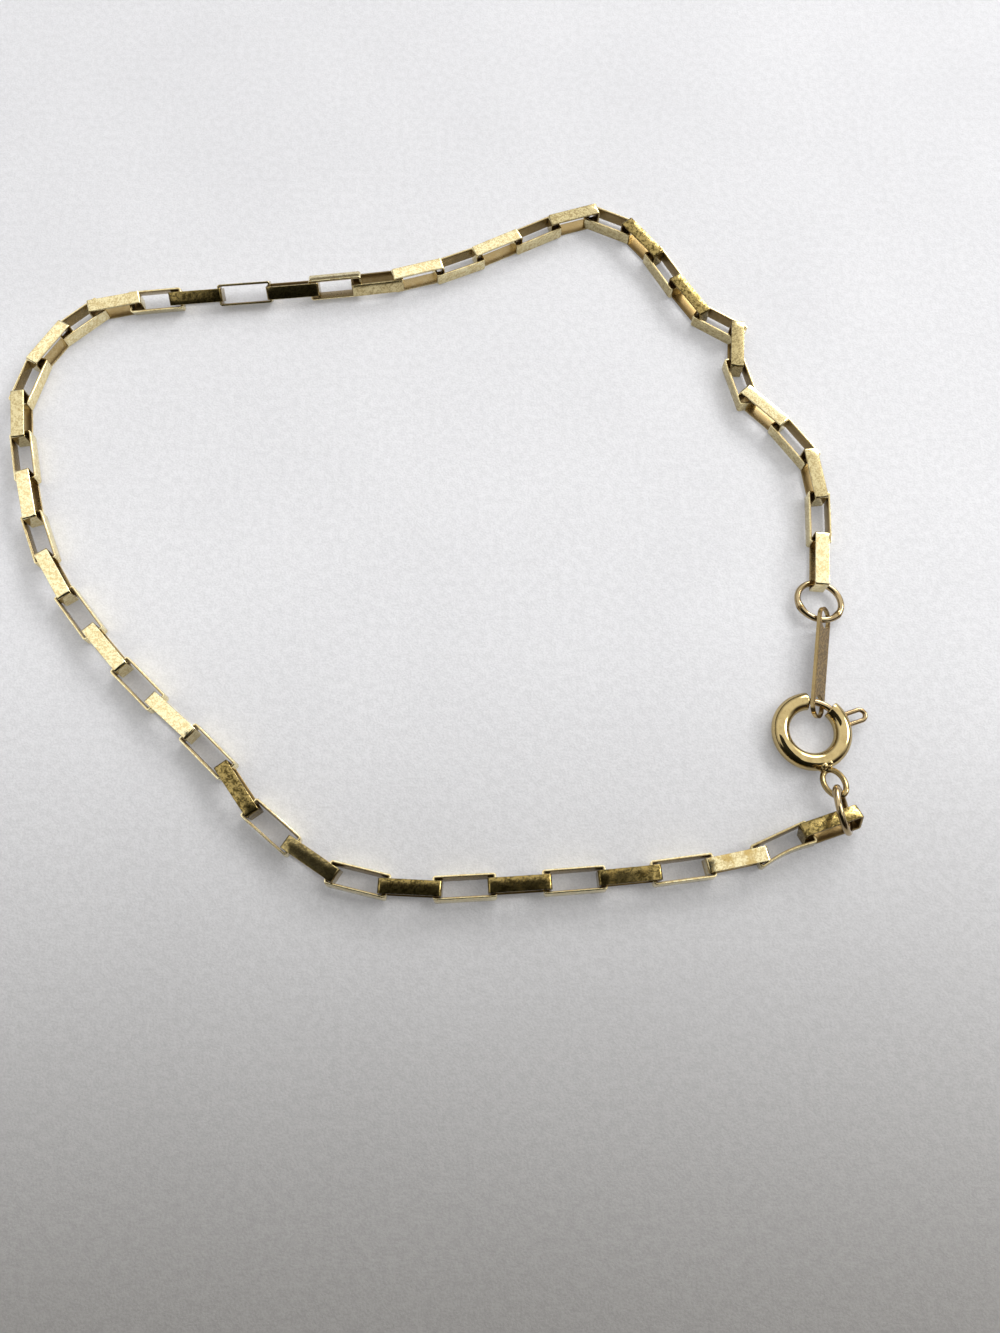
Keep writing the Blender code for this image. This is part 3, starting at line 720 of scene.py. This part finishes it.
def swept(name, radius, start, end, steps, sides, rounding=0.0):
    """Round bar along an arc of the clasp's centre line, with rounded rims at its ends."""
    bm = bmesh.new()
    loops = []
    arc = math.radians(end - start) * BOLT_RADIUS
    shoulder = rounding * RIM_SHOULDER
    stations = [(0.0, radius - rounding), (shoulder, radius - shoulder)] if rounding else []
    stations += [(rounding + (arc - 2 * rounding) * step / steps, radius) for step in range(steps + 1)]
    if rounding:
        stations += [(arc - shoulder, radius - shoulder), (arc, radius - rounding)]
    turns = [2 * math.pi * side / sides for side in range(sides)]
    for along, size in stations:
        outward = direction(start + math.degrees(along / BOLT_RADIUS))
        loops.append([bm.verts.new((BOLT_RADIUS + size * math.cos(turn)) * outward
                                   + size * math.sin(turn) * UP) for turn in turns])
    loft(bm, loops)
    return add_object(name, bm)


def slot_cutter(start, end, steps):
    """Flat sector that cuts the trigger's slot in the tube's outer wall."""
    half = TRIGGER_WIRE / 2 + TRIGGER_CLEARANCE
    corners = ((BOLT_RADIUS, -half), (CLASP_DIAMETER, -half), (CLASP_DIAMETER, half),
               (BOLT_RADIUS, half))
    bm = bmesh.new()
    loops = []
    for index in range(steps + 1):
        outward = direction(start + (end - start) * index / steps)
        loops.append([bm.verts.new(radius * outward + height * UP) for radius, height in corners])
    loft(bm, loops)
    return add_object("slot", bm)


def combine(target, tools, operation):
    """Join or cut the target with each tool object in turn, then delete the tools."""
    for tool in tools:
        modifier = target.modifiers.new(operation.title(), "BOOLEAN")
        modifier.solver = "EXACT"
        modifier.operation = operation
        modifier.object = tool
        graph = bpy.context.evaluated_depsgraph_get()
        shaped = bpy.data.meshes.new_from_object(target.evaluated_get(graph))
        target.modifiers.clear()
        target.data = shaped
        bpy.data.objects.remove(tool)


def dress(thing, material, angle):
    """Smooth shading, sharp edges by angle and one material."""
    mesh = thing.data
    mesh.shade_smooth()
    mesh.set_sharp_from_angle(angle=math.radians(angle))
    mesh.materials.clear()
    mesh.materials.append(material)


def clasp_body_piece(rings, material):
    """Tube ring with its bore, slot, soldered eye and lump of solder."""
    tube = CLASP_TUBE / 2
    bore = BOLT_DIAMETER / 2 + BOLT_CLEARANCE
    body = swept("clasp ring body", tube, CLASP_GAP_END, CLASP_GAP_START + 360, steps=96, sides=40,
                 rounding=RIM_ROUNDING)
    outward = direction(EYE_ANGLE)
    rise, roll = math.radians(EYE_RISE), math.radians(EYE_ROLL)
    along = math.cos(rise) * outward + math.sin(rise) * UP
    across = Matrix.Rotation(roll, 3, along) @ direction(EYE_ANGLE + 90)
    near_end = (CLASP_DIAMETER / 2 - EYE_SINK + EYE_WIRE / 2) * outward
    middle = near_end + (EYE_LENGTH - EYE_WIRE) / 2 * along
    eye = ring_piece("eye", rings, axes(middle, along, across), EYE_LENGTH, EYE_WIDTH, EYE_WIRE, material)
    beads = []
    for angle, slope, diameter in SOLDER_BEADS:
        slope = math.radians(slope)
        place = ((BOLT_RADIUS + (tube - SOLDER_SINK) * math.cos(slope)) * direction(angle)
                 + (tube - SOLDER_SINK) * math.sin(slope) * UP)
        bm = bmesh.new()
        bmesh.ops.create_icosphere(bm, subdivisions=4, radius=diameter / 2,
                                   matrix=Matrix.Translation(place))
        beads.append(add_object("solder", bm))
    combine(body, [eye] + beads, "UNION")
    deepest = BOLT_TAIL - BOLT_TRAVEL - BOLT_END_ROOM
    channel = swept("channel", bore, deepest, CLASP_GAP_START + BOLT_END_ROOM, steps=32, sides=24)
    pocket = swept("pocket", bore, CLASP_GAP_END - BOLT_END_ROOM,
                   CLASP_GAP_END + BOLT_SEAT + BOLT_END_ROOM, steps=6, sides=24)
    half_width = math.degrees(math.asin(TRIGGER_WIDTH / 2 / BOLT_RADIUS)) + BOLT_END_ROOM
    slot = slot_cutter(TRIGGER_ANGLE - BOLT_TRAVEL - half_width, TRIGGER_ANGLE + half_width, steps=32)
    combine(body, [channel, pocket, slot], "DIFFERENCE")
    # painted shade: the eye, beyond the tube, is browner
    reach = CLASP_DIAMETER / 2 + SOLDER_SINK
    seam_and_shade = [EYE_SHADE if vert.co.length > reach else 0.0 for vert in body.data.vertices]
    body.data.transform(Matrix.Translation(CLASP_MIDDLE))
    dress(body, material, CLASP_SHARP_ANGLE)
    body.data.attributes.new("seam_and_shade", "FLOAT", "POINT").data.foreach_set("value", seam_and_shade)
    return body


def hairpin(foot, tip, steps=32, sides=20):
    """Trigger's loop of wire with straight sides and a round end."""
    outward, across = direction(TRIGGER_ANGLE), direction(TRIGGER_ANGLE + 90)
    half = (TRIGGER_WIDTH - TRIGGER_WIRE) / 2
    bend = tip - TRIGGER_WIRE / 2 - half
    spots = [(foot * outward - half * across, -across)]
    for step in range(steps + 1):
        turn = math.pi * (step / steps - 0.5)
        side = math.cos(turn) * outward + math.sin(turn) * across
        spots.append((bend * outward + half * side, side))
    spots.append((foot * outward + half * across, across))
    bm = bmesh.new()
    turns = [2 * math.pi * side / sides for side in range(sides)]
    loops = [[bm.verts.new(point + TRIGGER_WIRE / 2 * (math.cos(turn) * side + math.sin(turn) * UP))
              for turn in turns] for point, side in spots]
    loft(bm, loops)
    return add_object("trigger", bm)


def bolt_piece(material):
    """Curved bolt with its trigger loop."""
    bolt = swept("bolt", BOLT_DIAMETER / 2, BOLT_TAIL, CLASP_GAP_END + BOLT_SEAT, steps=40, sides=24,
                 rounding=RIM_ROUNDING)
    foot = math.sqrt(BOLT_RADIUS ** 2 - (TRIGGER_WIDTH / 2) ** 2)
    combine(bolt, [hairpin(foot, CLASP_DIAMETER / 2 + TRIGGER_LENGTH)], "UNION")
    bolt.data.transform(Matrix.Translation(CLASP_MIDDLE))
    dress(bolt, material, CLASP_SHARP_ANGLE)
    return bolt


def stadium(length, width, steps=20):
    """Outline with two round ends, as pairs of distance along and across."""
    points = []
    for end in (1, -1):
        for step in range(steps + 1):
            turn = math.pi * (step / steps - 0.5)
            points.append((end * ((length - width) / 2 + width / 2 * math.cos(turn)),
                           end * width / 2 * math.sin(turn)))
    return points


def tag_plate(name, shift, length, width, thickness):
    """Plate with round ends in the tag's plane, moved along the tag from its slot at the bolt."""
    middle = tag_slot() + shift * TAG_ALONG
    bm = bmesh.new()
    loops = [[bm.verts.new(middle + x * TAG_ALONG + y * TAG_ACROSS + side * thickness / 2 * TAG_NORMAL)
              for x, y in stadium(length, width)] for side in (-1, 1)]
    loft(bm, loops)
    return add_object(name, bm)


def tag_piece(material):
    """Narrow bar with a slot near each end and softened edges."""
    tag = tag_plate("tag bar", TAG_SLOT_SPACING / 2, TAG_LENGTH, TAG_WIDTH, TAG_THICKNESS)
    slots = [tag_plate("slot", shift, TAG_SLOT_LENGTH, TAG_SLOT_WIDTH, 2 * TAG_THICKNESS)
             for shift in (0, TAG_SLOT_SPACING)]
    combine(tag, slots, "DIFFERENCE")
    bm = bmesh.new()
    bm.from_mesh(tag.data)
    rims = [edge for edge in bm.edges if edge.calc_face_angle(0) > math.radians(TAG_EDGE_ANGLE)]
    bmesh.ops.bevel(bm, geom=rims, offset=TAG_EDGE_ROUNDING, segments=2, affect="EDGES",
                    clamp_overlap=True)
    bm.to_mesh(tag.data)
    bm.free()
    dress(tag, material, TAG_SHARP_ANGLE)
    # painted shade on the tag's flat faces
    seam_and_shade = [TAG_FACE_SHADE if abs(face.normal.dot(TAG_NORMAL)) > TAG_FACE_MATCH else 0.0
            for face in tag.data.polygons]
    tag.data.attributes.new("seam_and_shade", "FLOAT", "FACE").data.foreach_set("value", seam_and_shade)
    return tag


# Stage

def paper():
    """Pale paper with a fine tooth, a faint glow of painted fill light, darker towards the viewer in a
    painted shadow and greyer far off in painted shade.
    """
    material, graph, shader = new_material("pale paper")
    shader.inputs["Metallic"].default_value = 0.0
    place = graph.add("ShaderNodeTexCoord", output=3)
    tooth = graph.noise(place, 5200, 3, 0.65)
    cloud = graph.noise(place, 60, 2, 0.5)
    fibre = graph.noise(place, 1400, 3, 0.6)
    side = graph.add("ShaderNodeSeparateXYZ", {}, {0: place}, output=1)
    # paper greyer further away in painted shade
    pale = graph.mix(cloud * 0.4 + side.band(*FLOOR_FADE) * 0.6, PAPER_PALE, PAPER_FAR_SHADE)
    # painted shadow towards the viewer
    lit = side.band(*FLOOR_SHADE)
    base = graph.mix(lit, PAPER_PAINTED_SHADOW, pale)
    grain = graph.mix((tooth * 0.6 + fibre * 0.4).band(0.38, 0.62), PAPER_GRAIN, (1, 1, 1, 1))
    colour = graph.mix(1.0, base, grain, "MULTIPLY")
    # painted fill light: the paper glows, less in the painted shadow
    fill_glow = graph.mix(lit, PAPER_FILL_GLOW_SHADED, PAPER_FILL_GLOW)
    graph.tree.links.new(fill_glow.socket, shader.inputs["Emission Color"])
    shader.inputs["Emission Strength"].default_value = 1.0
    wire_up(graph, shader, colour, tooth * 0.1 + PAPER_ROUGHNESS, tooth + fibre, PAPER_RELIEF)
    return material


def lay_floor():
    """Level paper under the chain, a piece of the stage."""
    bm = bmesh.new()
    bmesh.ops.create_grid(bm, x_segments=1, y_segments=1, size=FLOOR_HALF)
    floor = add_object("floor", bm)
    floor.data.materials.append(paper())
    if floor.data.polygons[0].normal.z < 0:
        floor.data.flip_normals()


def set_camera(shift):
    """The photograph's camera, moved with the pieces."""
    camera = bpy.data.objects.new("camera", bpy.data.cameras.new("camera"))
    camera.data.lens = CAMERA_LENS
    camera.data.sensor_width = CAMERA_FRAME
    camera.data.sensor_fit = "HORIZONTAL"
    camera.data.clip_start = CAMERA_NEAR
    camera.location = Vector((*CAMERA_PLACE, CAMERA_HEIGHT)) + shift
    camera.rotation_euler = (math.radians(90 - CAMERA_DIP), 0, 0)
    bpy.context.collection.objects.link(camera)
    bpy.context.scene.camera = camera
    return camera


def set_sky():
    """Pale sky that is dark along the horizon and low in the south, with two bright parts."""
    world = bpy.data.worlds.new("soft sky")
    world.use_nodes = True
    graph = Graph(world.node_tree)
    background = world.node_tree.nodes["Background"]
    way = graph.add("ShaderNodeTexCoord", output=0)
    parts = graph.add("ShaderNodeSeparateXYZ", {}, {0: way})
    y, z = (Value(graph, parts.socket.node.outputs[axis]) for axis in (1, 2))
    south = (1 - y.band(*SKY_SOUTH)) * (1 - z.band(*SKY_SOUTH_TOP))
    lower, upper = ((1 - z.band(*heights)) * SKY_HORIZON_DARK for heights in SKY_HORIZON)
    colour = graph.mix(south.math("MAXIMUM", lower + upper), SKY_PALE, SKY_DARK)
    for towards, edge, core, strength in GLOWS:
        facing = graph.add("ShaderNodeVectorMath", {"operation": "DOT_PRODUCT"}, {
            0: way, 1: Vector(towards).normalized()}, output=1)
        colour = graph.mix(facing.band(edge, core), colour, (strength, strength, strength, 1))
    graph.tree.links.new(colour.socket, background.inputs["Color"])
    background.inputs["Strength"].default_value = SKY_STRENGTH
    bpy.context.scene.world = world


def set_window():
    """A faint rectangle of light in the north-east that faces the chain."""
    light = bpy.data.lights.new("window", "AREA")
    light.shape = "RECTANGLE"
    light.size, light.size_y = WINDOW_SIZE
    light.energy = WINDOW_WATTS
    lamp = bpy.data.objects.new("window", light)
    lamp.location = WINDOW_PLACE
    lamp.rotation_euler = (-lamp.location).to_track_quat("-Z", "Y").to_euler()
    bpy.context.collection.objects.link(lamp)


def lay_cards(camera):
    """Dark cards beside the camera that the metal mirrors and the camera doesn't see."""
    bm = bmesh.new()
    for (left, near), (right, far) in CARDS:
        outline = ((left, near), (right, near), (right, far), (left, far))
        bm.faces.new([bm.verts.new((x, y, CARD_BACK)) for x, y in outline])
    cards = add_object("shade cards", bm)
    cards.location, cards.rotation_euler = camera.location, camera.rotation_euler
    material, _, shader = new_material("black card")
    shader.inputs["Metallic"].default_value = 0.0
    shader.inputs["Base Color"].default_value = CARD_BLACK
    cards.data.materials.append(material)
    cards.visible_camera = False


def main():
    """Make every piece, line all of them up with the solids, and stage them."""
    rings = ring_tree()
    link_material = link_gold()
    clasp_material = polished_gold(*CLASP_GOLD)
    ring_material = polished_gold(*RING_GOLD)
    bolt_material = polished_gold(*BOLT_GOLD)
    tag_material = polished_gold(*TAG_GOLD)
    chain = chain_piece(link_material)
    pieces = [
        (chain, "box_chain", "chain_gold"),
        (ring_piece("end jump ring", rings, end_ring_axes(), END_RING_LENGTH, END_RING_WIDTH, RING_WIRE,
                    ring_material, END_RING_JOINTS), "end_ring", "clasp_gold"),
        (ring_piece("clasp jump ring", rings, clasp_ring_axes(), CLASP_RING_DIAMETER, CLASP_RING_DIAMETER,
                    RING_WIRE, ring_material, CLASP_RING_JOINTS), "clasp_ring", "clasp_gold"),
        (tag_piece(tag_material), "tag", "tag_gold"),
        (clasp_body_piece(rings, clasp_material), "clasp_body", "clasp_gold"),
        (bolt_piece(bolt_material), "clasp_bolt", "clasp_gold")]
    cad = [(a + b) / 2 for a, b in zip(*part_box("box_chain"))]
    corners = [vert.co for vert in chain.data.vertices]
    own = [(min(co[axis] for co in corners) + max(co[axis] for co in corners)) / 2 for axis in range(2)]
    shift = Vector((cad[0] - own[0], cad[1] - own[1], 0))
    for piece, node, slot_name in pieces:
        piece.data.transform(Matrix.Translation(shift))
        piece.name = piece.name.replace(" ", "_")
        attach(piece, "bolt" if node == "clasp_bolt" else "anklet")
        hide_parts(node)
    lay_floor()
    camera = set_camera(shift)
    set_sky()
    set_window()
    lay_cards(camera)
    bpy.context.scene.view_settings.view_transform = "Standard"


main()
